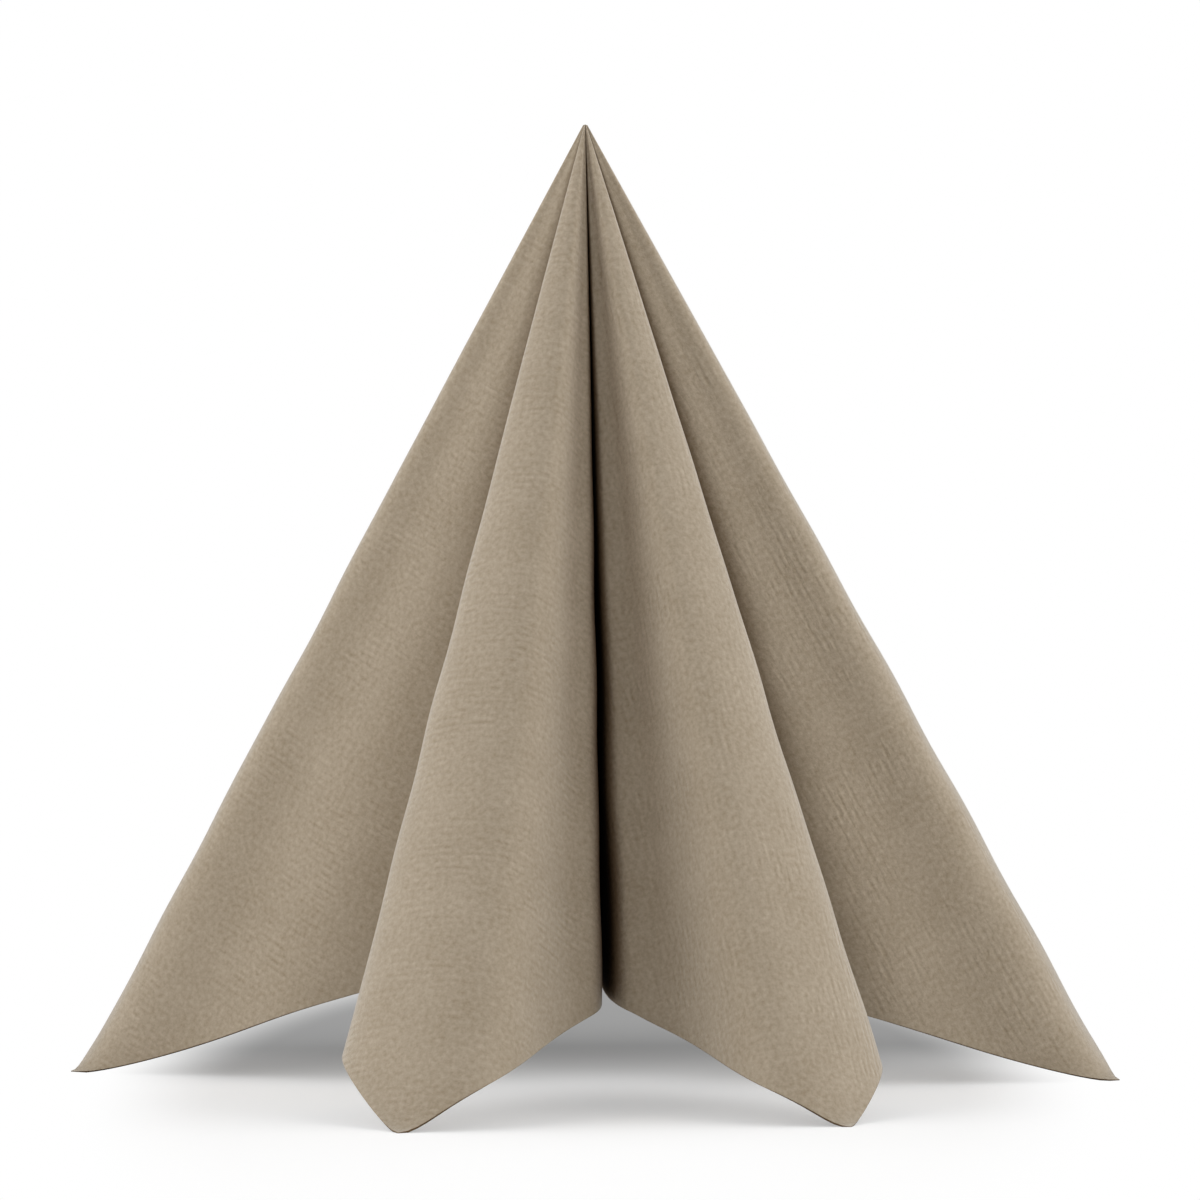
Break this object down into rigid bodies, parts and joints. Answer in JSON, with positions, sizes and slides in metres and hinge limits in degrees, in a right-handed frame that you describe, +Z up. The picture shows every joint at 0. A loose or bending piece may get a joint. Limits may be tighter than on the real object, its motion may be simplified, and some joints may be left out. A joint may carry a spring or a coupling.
{
  "type": "folded paper napkin",
  "caption": "Square cloth-like paper napkin folded through its centre into a standing peak with hollow cone-shaped lobes.",
  "frame": {"origin": "on the table, in the middle of the ground that the napkin covers", "axes": "+Z up towards the peak, -Y to the front of the fold, +X to its right"},
  "size_m": [0.2698, 0.2122, 0.244],
  "materials": {
    "airlaid_paper": "matte greige airlaid tissue with a fine embossed rib"
  },
  "bodies": {
    "root": {"napkin_sheet": "airlaid_paper"}
  },
  "joints": []
}
